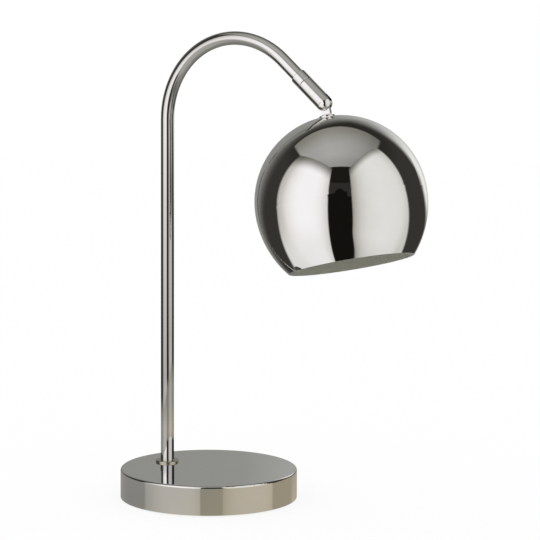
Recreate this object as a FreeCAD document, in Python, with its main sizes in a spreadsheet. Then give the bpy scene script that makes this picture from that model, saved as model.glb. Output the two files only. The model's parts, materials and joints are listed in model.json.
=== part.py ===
import FreeCAD, Part
import math
import os

import Sketcher

# Arc table lamp with a tilting metal ball shade.
# Millimetres and degrees. X points from the pole towards the shade, Z is up,
# and the origin is the centre of the base where it rests on the table.

SIZES = [
    # Round base: spun cover, iron weight, closing plate and foam pad
    ("base_radius", 80.0),
    ("base_height", 27.0),
    ("base_wall", 1.0),
    ("base_edge", 2.0),
    ("inner_round", 1.0),
    ("rim_gap", 0.8),
    ("side_gap", 0.4),
    ("pad_inset", 3.5),
    ("pad_thickness", 3.0),
    ("plate_thickness", 1.2),
    ("wiring_space", 8.8),
    ("weight_chamfer", 1.4),
    ("boss_radius", 6.0),
    ("boss_inset", 18.0),
    ("base_screw_radius", 2.0),
    ("base_screw_head", 3.6),
    ("base_screw_head_height", 2.0),
    ("base_screw_length", 8.0),
    ("driver_gap", 1.2),
    # Cord inlet at the back of the base
    ("inlet_height", 9.2),
    ("inlet_flange", 4.6),
    ("inlet_flange_thickness", 1.4),
    ("inlet_neck", 3.8),
    ("inlet_barb", 4.2),
    ("inlet_depth", 3.6),
    ("inlet_bore", 3.0),
    ("channel_width", 12.0),
    ("channel_depth", 3.0),
    # Pole fixing
    ("pole_inset", 34.0),
    ("nipple_radius", 5.0),
    ("nipple_bore", 3.5),
    ("nipple_in_tube", 12.0),
    ("nipple_proud", 0.5),
    ("well_radius", 13.0),
    ("well_depth", 5.0),
    ("washer_radius", 8.5),
    ("washer_thickness", 1.0),
    ("nut_flats", 14.0),
    ("nut_thickness", 3.0),
    ("ring_radius", 10.7),
    ("ring_height", 1.8),
    ("ring_edge", 0.7),
    # Terminal block and earth point under the weight
    ("block_place", -12.0),
    ("block_length", 16.0),
    ("block_width", 26.0),
    ("block_height", 8.2),
    ("way_pitch", 8.0),
    ("way_drop", 5.0),
    ("way_radius", 2.1),
    ("sleeve_wall", 0.7),
    ("clamp_screw_radius", 1.3),
    ("clamp_screw_spread", 4.5),
    ("small_screw_radius", 1.5),
    ("small_screw_head", 2.4),
    ("small_screw_head_height", 1.6),
    ("small_screw_grip", 5.0),
    ("earth_boss_radius", 3.6),
    ("earth_reach", 13.0),
    ("earth_side", 24.0),
    ("tag_radius", 4.0),
    ("tag_thickness", 0.8),
    ("earth_wire_radius", 1.0),
    ("earth_wire_entry", 4.0),
    ("earth_bend", 5.0),
    # Bent arm tube and the lead inside it
    ("tube_radius", 6.0),
    ("tube_wall", 1.0),
    ("bend_start", 341.5),
    ("bend_radius", 75.5),
    ("bend_angle", 129.7),
    ("arm_straight", 20.3),
    ("lead_radius", 2.0),
    # Swivel collar, its stem and the knuckle
    ("knuckle_radius", 7.2),
    ("knuckle_reach", 26.9),
    ("collar_length", 9.5),
    ("collar_web", 1.5),
    ("seam_gap", 0.25),
    ("edge_round", 0.4),
    ("stem_radius", 4.5),
    ("stem_bore", 2.6),
    ("stem_in_tube", 14.0),
    ("stem_in_knuckle", 11.0),
    ("stem_end_gap", 0.3),
    ("groove_drop", 6.0),
    ("groove_depth", 0.9),
    ("groove_width", 1.8),
    ("grub_radius", 1.5),
    ("grub_tip_radius", 0.7),
    ("grub_clearance", 0.15),
    ("hex_socket_flats", 1.5),
    ("hex_socket_depth", 1.0),
    ("stop_web", 15.6),
    ("dome_rise", 1.2),
    ("slot_top", 5.2),
    # Tilting tongue, its pivot pins and friction washers
    ("tongue_thickness", 4.0),
    ("tongue_width", 8.0),
    ("tongue_flare", 1.6),
    ("channel_across", 3.4),
    ("channel_thick", 2.0),
    ("flange_radius", 7.2),
    ("flange_thickness", 1.6),
    ("neck_stem_length", 16.0),
    ("pin_radius", 1.8),
    ("pin_bite", 0.9),
    ("pin_sink", 0.4),
    ("friction_washer_thickness", 0.4),
    ("friction_washer_radius", 3.9),
    ("washer_play", 0.05),
    ("rest_swivel", 10.0),
    ("rest_tilt", 35.4),
    # Ball shade
    ("neck_drop", 12.0),
    ("shade_radius", 75.0),
    ("shade_wall", 1.0),
    ("crown_radius", 9.0),
    ("mouth_radius", 55.0),
    ("mouth_depth", 55.0),
    # Lampholder and bulb
    ("shade_washer_radius", 8.4),
    ("holder_drop", 1.0),
    ("holder_radius", 13.2),
    ("holder_wall", 1.4),
    ("holder_neck_radius", 7.6),
    ("holder_neck_length", 5.0),
    ("holder_shoulder", 4.0),
    ("holder_cap_height", 16.0),
    ("skirt_height", 26.0),
    ("skirt_lip", 1.9),
    ("core_radius", 11.6),
    ("core_drop", 11.2),
    ("core_thickness", 7.8),
    ("core_sleeve_radius", 9.6),
    ("core_sleeve_bore", 8.4),
    ("core_sleeve_length", 14.0),
    ("core_hole", 2.2),
    ("contact_wall", 0.5),
    ("contact_length", 12.0),
    ("contact_ledge", 1.6),
    ("centre_contact_radius", 2.6),
    ("centre_contact_height", 1.2),
    ("bulb_cap_radius", 6.95),
    ("bulb_cap_length", 19.0),
    ("bulb_tip_radius", 2.3),
    ("bulb_tip_height", 1.6),
    ("thread_pitch", 2.8),
    ("thread_depth", 0.5),
    ("bulb_length", 78.0),
    ("bulb_radius", 22.5),
    ("bulb_neck_radius", 8.2),
    ("glass_wall", 0.9),
    ("shade_lead_width", 3.0),
    ("shade_lead_thickness", 1.6),
    # Clearances
    ("fit_gap", 0.05),
    ("run_gap", 0.05),
    ("hole_gap", 0.2),
]

SCREW_COUNT = 3
TOOTH_COUNT = 12
WAY_COUNT = 3
THREAD_RINGS = 4

doc = FreeCAD.newDocument("arc_lamp")
sheet = doc.addObject("Spreadsheet::Sheet", "Sizes")
for row, (alias, number) in enumerate(SIZES, start=1):
    sheet.set(f"A{row}", alias)
    sheet.set(f"B{row}", str(number))
    sheet.setAlias(f"B{row}", alias)
doc.recompute()


class Size:
    """A length or an angle: its present number, and the expression that ties it to the sheet."""

    def __init__(self, number, text):
        self.number = float(number)
        self.text = text

    def __add__(self, other):
        other = as_size(other)
        return Size(self.number + other.number, f"({self.text} + {other.text})")

    def __sub__(self, other):
        other = as_size(other)
        return Size(self.number - other.number, f"({self.text} - {other.text})")

    def __mul__(self, other):
        other = as_size(other)
        return Size(self.number * other.number, f"({self.text} * {other.text})")

    def __truediv__(self, other):
        other = as_size(other)
        return Size(self.number / other.number, f"({self.text} / {other.text})")

    def __radd__(self, other):
        return as_size(other) + self

    def __rsub__(self, other):
        return as_size(other) - self

    def __rmul__(self, other):
        return as_size(other) * self

    def __neg__(self):
        return Size(-self.number, f"(0 - {self.text})")


def as_size(value):
    """A plain number as a Size, and a Size as it is."""
    return value if isinstance(value, Size) else Size(value, repr(float(value)))


def sine(angle):
    return Size(math.sin(math.radians(angle.number)), f"sin({angle.text})")


def cosine(angle):
    return Size(math.cos(math.radians(angle.number)), f"cos({angle.text})")


def root(value):
    return Size(math.sqrt(value.number), f"sqrt({value.text})")


class Sizes:
    """Each size in the sheet by its name."""

    def __getattr__(self, alias):
        return Size(sheet.get(alias), f"Sizes.{alias}")


size = Sizes()


# Places

def spot(x=0, y=0, z=0, turn=("0", "1", "0"), angle=0):
    """A placement as an expression: a point, and a turn about one axis through it."""
    point = ";".join(as_size(value).text for value in (x, y, z))
    axis = ";".join(turn)
    return f"placement(vector({point}); rotation(vector({axis}); {as_size(angle).text}))"


ABOUT_Y = ("0", "1", "0")
ABOUT_Z = ("0", "0", "1")


def on(*spots):
    """Placements one inside the other, outermost first."""
    return " * ".join(spots)


# Bodies, sketches and features

def new_body(name, place=None):
    """An empty body whose label is the piece's name."""
    body = doc.addObject("PartDesign::Body", name)
    body.Label = name
    if place:
        body.setExpression("Placement", place)
    return body


def origin_feature(body, role):
    for feature in body.Origin.OriginFeatures:
        if feature.Role == role:
            return feature
    raise ValueError(f"{body.Label} has no {role}")


def new_sketch(body, plane="XY_Plane", lift=0, across=0, along=0):
    """A sketch on one of the body's own planes, moved in that plane or lifted off it."""
    sketch = body.newObject("Sketcher::SketchObject", f"{body.Label}_sketch")
    sketch.AttachmentSupport = [(origin_feature(body, plane), "")]
    sketch.MapMode = "FlatFace"
    for axis, value in zip("xyz", (across, along, lift)):
        if isinstance(value, Size):
            sketch.setExpression(f"AttachmentOffset.Base.{axis}", value.text)
    return sketch


def fix_point(sketch, line, end, x, y):
    """Holds one end of a line at x, y from the sketch's origin."""
    for kind, value, axis in (("DistanceX", as_size(x), -2), ("DistanceY", as_size(y), -1)):
        if value.number == 0:
            sketch.addConstraint(Sketcher.Constraint("PointOnObject", line, end, axis))
        else:
            which = sketch.addConstraint(Sketcher.Constraint(kind, -1, 1, line, end, value.number))
            sketch.setExpression(f"Constraints[{which}]", value.text)


def fix_radius(sketch, line, radius):
    which = sketch.addConstraint(Sketcher.Constraint("Radius", line, radius.number))
    sketch.setExpression(f"Constraints[{which}]", radius.text)


def arc_between(start, end, radius, turn):
    """The shorter arc between two points, and the numbers of its two ends in that order."""
    chord = end - start
    middle = (start + end) * 0.5
    side = FreeCAD.Vector(-chord.y, chord.x, 0) * (1 if turn == "left" else -1)
    rise = math.sqrt(max(radius ** 2 - (chord.Length / 2) ** 2, 0))
    centre = middle + side * (rise / side.Length)
    first, last = (start, end) if turn == "left" else (end, start)
    angles = [math.atan2(p.y - centre.y, p.x - centre.x) for p in (first, last)]
    if angles[1] < angles[0]:
        angles[1] += 2 * math.pi
    circle = Part.Circle(centre, FreeCAD.Vector(0, 0, 1), radius)
    return Part.ArcOfCircle(circle, *angles), (1, 2) if turn == "left" else (2, 1)


def draw(sketch, corners, closed=True):
    """Draws lines from corner to corner. A corner is (x, y), or (x, y, radius, turn) where
    an arc of that radius leads to the next corner, turning left or right."""
    points = [FreeCAD.Vector(as_size(c[0]).number, as_size(c[1]).number, 0) for c in corners]
    count = len(corners) if closed else len(corners) - 1
    ends = []
    for index in range(count):
        start, end = points[index], points[(index + 1) % len(points)]
        if len(corners[index]) == 2:
            sketch.addGeometry(Part.LineSegment(start, end), False)
            ends.append((1, 2))
        else:
            radius, turn = corners[index][2:]
            arc, order = arc_between(start, end, as_size(radius).number, turn)
            sketch.addGeometry(arc, False)
            ends.append(order)
    for index in range(count if closed else count - 1):
        after = (index + 1) % count
        sketch.addConstraint(
            Sketcher.Constraint("Coincident", index, ends[index][1], after, ends[after][0]))
    for index in range(count):
        fix_point(sketch, index, ends[index][0], *corners[index][:2])
        if len(corners[index]) > 2:
            fix_radius(sketch, index, as_size(corners[index][2]))
    if not closed:
        fix_point(sketch, count - 1, ends[-1][1], *corners[-1][:2])
    return sketch


def draw_circle(sketch, x, y, radius):
    centre = FreeCAD.Vector(as_size(x).number, as_size(y).number, 0)
    up = FreeCAD.Vector(0, 0, 1)
    line = sketch.addGeometry(Part.Circle(centre, up, radius.number), False)
    fix_point(sketch, line, 3, x, y)
    fix_radius(sketch, line, radius)
    return sketch


def rectangle(x_low, x_high, y_low, y_high):
    return [(x_low, y_low), (x_high, y_low), (x_high, y_high), (x_low, y_high)]


def turned(body, corners):
    """A solid of revolution about the body's Z axis, from an outline of radius and height."""
    sketch = draw(new_sketch(body, "XZ_Plane"), corners)
    feature = body.newObject("PartDesign::Revolution", f"{body.Label}_turned")
    feature.Profile = sketch
    feature.ReferenceAxis = (sketch, ["V_Axis"])
    feature.Angle = 360
    return feature


def padded(body, sketch, length, both=False):
    """Material raised from a sketch, or to both sides of it with that whole length."""
    feature = body.newObject("PartDesign::Pad", f"{body.Label}_pad")
    feature.Profile = sketch
    feature.SideType = "Symmetric" if both else "One side"
    feature.setExpression("Length", length.text)
    return feature


def cut(body, sketch, length=None, both=False, forward=False):
    """Material taken away against the sketch's normal, or along it. No length is right through."""
    feature = body.newObject("PartDesign::Pocket", f"{body.Label}_cut")
    feature.Profile = sketch
    feature.SideType = "Symmetric" if both else "One side"
    feature.Reversed = forward
    if length is None:
        feature.Type = "ThroughAll"
    else:
        feature.Type = "Length"
        feature.setExpression("Length", length.text)
    return feature


def repeated(body, features, count):
    """The same features again at equal steps about the body's Z axis."""
    feature = body.newObject("PartDesign::PolarPattern", f"{body.Label}_pattern")
    feature.Originals = features
    feature.Axis = (origin_feature(body, "Z_Axis"), [""])
    feature.Angle = 360
    feature.Occurrences = count
    body.Tip = feature
    return feature


def mirrored(body, features, plane):
    feature = body.newObject("PartDesign::Mirrored", f"{body.Label}_mirror")
    feature.Originals = features
    feature.MirrorPlane = (origin_feature(body, plane), [""])
    body.Tip = feature
    return feature


def swept(body, path_corners, section, path_plane="XZ_Plane"):
    """A section carried along an open path of lines and arcs."""
    path = draw(new_sketch(body, path_plane), path_corners, closed=False)
    feature = body.newObject("PartDesign::AdditivePipe", f"{body.Label}_sweep")
    feature.Profile = section
    feature.Spine = (path, [f"Edge{n + 1}" for n in range(len(path_corners) - 1)])
    return feature


def hexagon(flats):
    """Corners of a hexagon from the distance across its flats."""
    corner = flats / math.sqrt(3)
    half = flats / 2
    return [
        (corner, 0), (corner / 2, half), (-(corner / 2), half),
        (-corner, 0), (-(corner / 2), -half), (corner / 2, -half),
    ]


def hex_nut(name, place):
    """A lamp nut for the threaded tubes, with turned-off corners above and below."""
    body = new_body(name, place)
    corner = size.nut_flats / math.sqrt(3)
    inner = size.nipple_radius + size.fit_gap
    chamfer = corner - size.nut_flats / 2
    turned(body, [
        (inner, 0),
        (size.nut_flats / 2, 0),
        (corner, chamfer / 2),
        (corner, size.nut_thickness - chamfer / 2),
        (size.nut_flats / 2, size.nut_thickness),
        (inner, size.nut_thickness),
    ])
    outside_flats = draw(new_sketch(body), hexagon(size.nut_flats))
    draw_circle(outside_flats, 0, 0, corner + size.nut_thickness)
    cut(body, outside_flats, size.nut_thickness, forward=True)
    return body


def pan_screw(body, radius, length, head_radius, head_height):
    """A screw along Z, its rounded head under z = 0, with a driver slot, and its shank above."""
    turned(body, [
        (0, -head_height),
        (head_radius - head_height / 3, -head_height, head_height / 3, "left"),
        (head_radius, head_height / 3 - head_height),
        (head_radius, 0),
        (radius, 0),
        (radius, length - radius / 3),
        (radius - radius / 3, length),
        (0, length),
    ])
    sketch = new_sketch(body, lift=-head_height)
    draw(sketch, rectangle(-(head_radius * 0.7), head_radius * 0.7, -(radius / 6), radius / 6))
    return cut(body, sketch, head_height / 2, forward=True)


# Levels in the base, up from the table, and places across it
plate_top = size.pad_thickness + size.plate_thickness
weight_bottom = plate_top + size.wiring_space
weight_top = size.base_height - size.base_wall
weight_thickness = weight_top - weight_bottom
inside_radius = size.base_radius - size.base_wall - size.side_gap
boss_circle = size.base_radius - size.boss_inset
pole_offset = size.base_radius - size.pole_inset
nipple_drop = (size.base_wall + weight_thickness - size.well_depth
               + size.washer_thickness + size.nut_thickness + size.nipple_proud)
nipple_end = size.base_height - nipple_drop
way_height = weight_bottom - size.way_drop
tag_under = way_height - size.tag_thickness / 2
earth_x = size.block_place + size.block_length / 2 + size.earth_reach


def base_shell():
    """Spun cover: a flat top, a small rounded edge and a straight side."""
    body = new_body("base_shell")
    inner = size.base_radius - size.base_wall
    turned(body, [
        (0, weight_top),
        (inner - size.inner_round, weight_top, size.inner_round, "right"),
        (inner, weight_top - size.inner_round),
        (inner, size.rim_gap),
        (size.base_radius, size.rim_gap),
        (size.base_radius, size.base_height - size.base_edge, size.base_edge, "left"),
        (size.base_radius - size.base_edge, size.base_height),
        (0, size.base_height),
    ])
    pole_hole = new_sketch(body, lift=size.base_height)
    draw_circle(pole_hole, -pole_offset, 0, size.nipple_radius + size.fit_gap)
    cut(body, pole_hole)
    inlet_hole = new_sketch(body, "YZ_Plane")
    draw_circle(inlet_hole, 0, size.inlet_height, size.inlet_neck + size.fit_gap)
    cut(body, inlet_hole)


def base_weight():
    """Cast disc under the cover's top, with bosses down to the plate and a well for the nut."""
    body = new_body("base_weight", spot(z=weight_bottom))
    turned(body, [
        (0, 0),
        (inside_radius, 0),
        (inside_radius, weight_thickness - size.weight_chamfer),
        (inside_radius - size.weight_chamfer, weight_thickness),
        (0, weight_thickness),
    ])
    boss = padded(body, draw_circle(
        new_sketch(body, lift=-size.wiring_space), boss_circle, 0, size.boss_radius),
        size.wiring_space)
    hole = cut(body, draw_circle(
        new_sketch(body, lift=-size.wiring_space), boss_circle, 0,
        size.base_screw_radius + size.fit_gap),
        size.base_screw_length + size.hole_gap, forward=True)
    repeated(body, [boss, hole], SCREW_COUNT)
    earth_drop = size.way_drop - size.tag_thickness / 2
    padded(body, draw_circle(
        new_sketch(body, lift=-earth_drop), earth_x, size.earth_side, size.earth_boss_radius),
        earth_drop)
    cut(body, draw_circle(
        new_sketch(body, lift=-earth_drop), earth_x, size.earth_side,
        size.small_screw_radius + size.fit_gap),
        size.small_screw_grip + size.hole_gap, forward=True)
    cut(body, draw_circle(
        new_sketch(body), size.block_place, size.way_pitch / 2,
        size.small_screw_radius + size.fit_gap),
        size.small_screw_grip + size.hole_gap, forward=True)
    cut(body, draw_circle(new_sketch(body), -pole_offset, 0, size.well_radius),
        size.well_depth, forward=True)
    cut(body, draw_circle(
        new_sketch(body), -pole_offset, 0, size.nipple_radius + size.fit_gap), forward=True)
    half = size.channel_width / 2
    cut(body, draw(
        new_sketch(body),
        rectangle(-size.base_radius, -pole_offset, -half, half)),
        size.channel_depth, forward=True)


def base_plate():
    """Steel plate that closes the base from below."""
    body = new_body("base_plate", spot(z=size.pad_thickness))
    padded(body, draw_circle(new_sketch(body), 0, 0, inside_radius), size.plate_thickness)
    hole = cut(body, draw_circle(
        new_sketch(body), boss_circle, 0, size.base_screw_radius + size.hole_gap),
        forward=True)
    repeated(body, [hole], SCREW_COUNT)


def base_pad():
    """Soft disc that the lamp stands on, open at each screw head."""
    body = new_body("base_pad")
    pad_radius = size.base_radius - size.pad_inset
    padded(body, draw_circle(new_sketch(body), 0, 0, pad_radius), size.pad_thickness)
    hole = cut(body, draw_circle(
        new_sketch(body), boss_circle, 0, size.base_screw_head + size.driver_gap),
        forward=True)
    repeated(body, [hole], SCREW_COUNT)


def base_screws():
    """Screws from the plate into the weight's bosses."""
    angle = 360.0 / SCREW_COUNT
    solids = []
    for number in range(SCREW_COUNT):
        place = on(spot(turn=ABOUT_Z, angle=angle * number),
                   spot(x=boss_circle, z=size.pad_thickness))
        screw = new_body(f"base_screw_{number + 1}", place)
        pan_screw(screw, size.base_screw_radius, size.base_screw_length,
                  size.base_screw_head, size.base_screw_head_height)
        solids.append(screw)
    grouped("base_screws", solids)


def grouped(name, pieces):
    """Alike pieces that share one node, as separate solids."""
    group = doc.addObject("Part::Compound", name)
    group.Label = name
    group.Links = pieces
    return group


def cord_inlet_bush():
    """Plastic bush that lines the cord's hole in the back of the cover."""
    body = new_body("cord_inlet_bush", spot(
        x=-size.base_radius, z=size.inlet_height, turn=ABOUT_Y, angle=-90))
    turned(body, [
        (size.inlet_bore, -size.inlet_depth),
        (size.inlet_neck, -size.inlet_depth),
        (size.inlet_barb, -(size.base_wall + size.hole_gap)),
        (size.inlet_neck, -(size.base_wall + size.hole_gap)),
        (size.inlet_neck, 0),
        (size.inlet_flange, 0),
        (size.inlet_flange, size.inlet_flange_thickness / 2,
         size.inlet_flange_thickness / 2, "left"),
        (size.inlet_flange - size.inlet_flange_thickness / 2, size.inlet_flange_thickness),
        (size.inlet_bore, size.inlet_flange_thickness),
    ])


def pole_foot_ring():
    """Thin ring round the foot of the pole."""
    body = new_body("pole_foot_ring", spot(x=-pole_offset, z=size.base_height))
    inner = size.tube_radius + size.fit_gap
    turned(body, [
        (inner, 0),
        (size.ring_radius, 0),
        (size.ring_radius, size.ring_height - size.ring_edge, size.ring_edge, "left"),
        (size.ring_radius - size.ring_edge, size.ring_height),
        (inner, size.ring_height),
    ])


def pole_nipple():
    """Threaded tube brazed into the foot of the pole, which clamps cover and weight."""
    body = new_body("pole_nipple", spot(x=-pole_offset, z=size.base_height))
    turned(body, [
        (size.nipple_bore, -nipple_drop),
        (size.nipple_radius, -nipple_drop),
        (size.nipple_radius, size.nipple_in_tube),
        (size.nipple_bore, size.nipple_in_tube),
    ])


def pole_lock_washer():
    """Toothed washer above the nut."""
    level = weight_bottom + size.well_depth - size.washer_thickness
    body = new_body("pole_lock_washer", spot(x=-pole_offset, z=level))
    inner = size.nipple_radius + size.fit_gap
    turned(body, rectangle(inner, size.washer_radius, 0, size.washer_thickness))
    root_radius = (inner + size.washer_radius) / 2
    notch = cut(body, draw(new_sketch(body), rectangle(
        root_radius, size.washer_radius + size.hole_gap,
        -(size.washer_thickness / 2), size.washer_thickness / 2)), forward=True)
    repeated(body, [notch], TOOTH_COUNT)


def pole_lock_nut():
    level = weight_bottom + size.well_depth - size.washer_thickness - size.nut_thickness
    hex_nut("pole_lock_nut", spot(x=-pole_offset, z=level))


def block_spot(drop=0):
    return spot(x=size.block_place, z=weight_bottom - as_size(drop))


def way_offsets():
    return [size.way_pitch * (number - (WAY_COUNT - 1) / 2) for number in range(WAY_COUNT)]


def terminal_block():
    """Plastic block under the weight with one through way for each wire."""
    body = new_body("terminal_block", block_spot(size.block_height))
    half_length = size.block_length / 2
    half_width = size.block_width / 2
    padded(body, draw(new_sketch(body), rectangle(
        -half_length, half_length, -half_width, half_width)), size.block_height)
    ways = new_sketch(body, "YZ_Plane")
    for offset in way_offsets():
        draw_circle(ways, offset, size.block_height - size.way_drop, size.way_radius)
    cut(body, ways, both=True)
    heads = new_sketch(body)
    for offset in way_offsets():
        for side in (-size.clamp_screw_spread, size.clamp_screw_spread):
            draw_circle(heads, side, offset, size.clamp_screw_radius + size.hole_gap)
    cut(body, heads, size.block_height - size.way_drop, forward=True)
    cut(body, draw_circle(
        new_sketch(body), 0, size.way_pitch / 2, size.small_screw_radius + size.fit_gap),
        forward=True)
    cut(body, draw_circle(
        new_sketch(body), 0, size.way_pitch / 2, size.small_screw_head + size.hole_gap),
        size.small_screw_head_height, forward=True)


def terminal_sleeves():
    """Brass sleeves in the ways of the block."""
    body = new_body("terminal_sleeves", block_spot(size.way_drop))
    body.AllowCompound = True
    section = new_sketch(body, "YZ_Plane")
    for offset in way_offsets():
        draw_circle(section, offset, 0, size.way_radius)
        draw_circle(section, offset, 0, size.way_radius - size.sleeve_wall)
    padded(body, section, size.block_length - size.clamp_screw_radius, both=True)
    holes = new_sketch(body)
    for offset in way_offsets():
        for side in (-size.clamp_screw_spread, size.clamp_screw_spread):
            draw_circle(holes, side, offset, size.clamp_screw_radius + size.fit_gap)
    cut(body, holes)


def terminal_screws():
    """Clamp screws, two to a way."""
    body = new_body("terminal_screws", block_spot(size.block_height - size.hole_gap))
    body.AllowCompound = True
    section = new_sketch(body)
    for offset in way_offsets():
        for side in (-size.clamp_screw_spread, size.clamp_screw_spread):
            draw_circle(section, side, offset, size.clamp_screw_radius)
    way_under = size.block_height - size.way_drop - size.way_radius
    padded(body, section, way_under + size.sleeve_wall - size.hole_gap)


def terminal_fixing_screw():
    """Screw that holds the block up against the weight, its head sunk in the block."""
    seat = size.block_height - size.small_screw_head_height
    body = new_body("terminal_fixing_screw", spot(
        x=size.block_place, y=size.way_pitch / 2, z=weight_bottom - seat))
    pan_screw(body, size.small_screw_radius, seat + size.small_screw_grip,
              size.small_screw_head, size.small_screw_head_height)


def earth_tag():
    """Ring tag for the earth wire, on its boss."""
    body = new_body("earth_tag", spot(x=earth_x, y=size.earth_side, z=tag_under))
    sketch = draw_circle(new_sketch(body), 0, 0, size.tag_radius)
    draw_circle(sketch, 0, 0, size.small_screw_radius + size.fit_gap)
    padded(body, sketch, size.tag_thickness)


def earth_screw():
    body = new_body("earth_screw", spot(x=earth_x, y=size.earth_side, z=tag_under))
    pan_screw(body, size.small_screw_radius, size.tag_thickness + size.small_screw_grip,
              size.small_screw_head, size.small_screw_head_height)


def earth_wire():
    """Wire from the block's outer way to the earth tag."""
    start = size.block_length / 2 - size.earth_wire_entry
    body = new_body("earth_wire", block_spot(size.way_drop))
    section = new_sketch(body, "YZ_Plane", lift=start, across=size.way_pitch)
    draw_circle(section, 0, 0, size.earth_wire_radius)
    turn_x = size.block_length / 2 + size.earth_reach
    swept(body, [
        (start, size.way_pitch),
        (turn_x - size.earth_bend, size.way_pitch, size.earth_bend, "left"),
        (turn_x, size.way_pitch + size.earth_bend),
        (turn_x, size.earth_side - size.tag_radius),
    ], section, "XY_Plane")


# The arm's centreline, from the foot of the pole
pole_length = size.bend_start - size.base_height
bend_x = size.bend_radius * (1 - cosine(size.bend_angle))
bend_z = pole_length + size.bend_radius * sine(size.bend_angle)
along_x = sine(size.bend_angle)
along_z = cosine(size.bend_angle)
tube_end = size.arm_straight + size.collar_length - size.collar_web
pivot_run = size.arm_straight + size.collar_length + size.knuckle_reach
lead_end = pivot_run - size.slot_top
pivot_x = bend_x + along_x * pivot_run - pole_offset
pivot_z = bend_z + along_z * pivot_run + size.base_height

# The collar's frame has its origin at the pivot and Z back up along the arm.
# The knuckle's frame is turned about that Z, and the shade's is tilted about the knuckle's Y.
collar_frame = spot(x=pivot_x, z=pivot_z, turn=ABOUT_Y, angle=size.bend_angle - 180)
knuckle_frame = on(collar_frame, spot(turn=ABOUT_Z, angle=size.rest_swivel))
shade_frame = on(knuckle_frame, spot(turn=ABOUT_Y, angle=size.rest_tilt))


def arm_tube():
    """One tube: a straight pole, a round bend and a short straight end."""
    body = new_body("arm_tube", spot(x=-pole_offset, z=size.base_height))
    section = draw_circle(new_sketch(body), 0, 0, size.tube_radius)
    draw_circle(section, 0, 0, size.tube_radius - size.tube_wall)
    swept(body, [
        (0, 0),
        (0, pole_length, size.bend_radius, "right"),
        (bend_x, bend_z),
        (bend_x + along_x * tube_end, bend_z + along_z * tube_end),
    ], section)


def arm_lead():
    """Lead from the terminal block up the pole, round the bend and into the knuckle."""
    body = new_body("arm_lead", spot(x=-pole_offset, z=size.base_height))
    start_x = pole_offset + size.block_place - size.block_length / 2
    low = way_height - size.base_height
    turn = nipple_end - way_height
    section = new_sketch(body, "YZ_Plane", lift=start_x, along=low)
    draw_circle(section, 0, 0, size.lead_radius)
    swept(body, [
        (start_x, low),
        (turn, low, turn, "right"),
        (0, low + turn),
        (0, pole_length, size.bend_radius, "right"),
        (bend_x, bend_z),
        (bend_x + along_x * lead_end, bend_z + along_z * lead_end),
    ], section)


# Levels along the collar's Z, from the pivot
seam = size.knuckle_reach
tube_stop = seam + size.collar_web
groove_level = seam - size.groove_drop


def swivel_stem():
    """Plug brazed into the tube's end, with the stem that the knuckle turns on.
    Its groove stops short of a full turn, and the web that is left is the swivel's stop."""
    body = new_body("swivel_stem", collar_frame)
    plug = size.tube_radius - size.tube_wall
    foot = seam - size.stem_in_knuckle
    top = tube_stop + size.stem_in_tube
    turned(body, [
        (size.stem_bore, foot),
        (size.stem_radius - size.edge_round, foot),
        (size.stem_radius, foot + size.edge_round),
        (size.stem_radius, tube_stop),
        (plug, tube_stop),
        (plug, top - size.edge_round),
        (plug - size.edge_round, top),
        (size.stem_bore, top),
    ])
    half = size.groove_width / 2
    sketch = draw(new_sketch(body, "XZ_Plane"), rectangle(
        -(size.stem_radius + size.hole_gap), size.groove_depth - size.stem_radius,
        groove_level - half, groove_level + half))
    groove = body.newObject("PartDesign::Groove", "swivel_stem_groove")
    groove.Profile = sketch
    groove.ReferenceAxis = (sketch, ["V_Axis"])
    groove.Midplane = True
    groove.setExpression("Angle", (360 - size.stop_web).text)


def swivel_collar():
    """Short sleeve that covers the tube's end and meets the knuckle at a fine seam."""
    body = new_body("swivel_collar", collar_frame)
    top = seam + size.collar_length
    turned(body, [
        (size.stem_radius + size.run_gap, seam),
        (size.knuckle_radius - size.edge_round, seam, size.edge_round, "left"),
        (size.knuckle_radius, seam + size.edge_round),
        (size.knuckle_radius, top - size.edge_round, size.edge_round, "left"),
        (size.knuckle_radius - size.edge_round, top),
        (size.tube_radius + size.fit_gap, top),
        (size.tube_radius + size.fit_gap, tube_stop),
        (size.stem_radius + size.run_gap, tube_stop),
    ])


slot_width = (size.tongue_thickness
              + (size.friction_washer_thickness + size.washer_play) * 2)


def knuckle_fork():
    """Turned knuckle with a domed end, slotted for the tongue."""
    body = new_body("knuckle_fork", knuckle_frame)
    top = seam - size.seam_gap
    floor = seam - size.stem_in_knuckle - size.stem_end_gap
    turned(body, [
        (0, size.dome_rise - size.knuckle_radius, size.knuckle_radius, "left"),
        (size.knuckle_radius, size.dome_rise),
        (size.knuckle_radius, top - size.edge_round, size.edge_round, "left"),
        (size.knuckle_radius - size.edge_round, top),
        (size.stem_radius + size.run_gap, top),
        (size.stem_radius + size.run_gap, floor),
        (size.stem_bore, floor),
        (size.stem_bore, size.dome_rise),
        (0, size.dome_rise),
    ])
    half = slot_width / 2
    cut(body, draw(new_sketch(body, "YZ_Plane"), rectangle(
        -half, half, -size.knuckle_radius, size.slot_top)), both=True)
    cut(body, draw_circle(new_sketch(body, "XZ_Plane"), 0, 0, size.pin_radius), both=True)
    cut(body, draw_circle(
        new_sketch(body, "YZ_Plane"), 0, groove_level, size.grub_radius))


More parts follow.
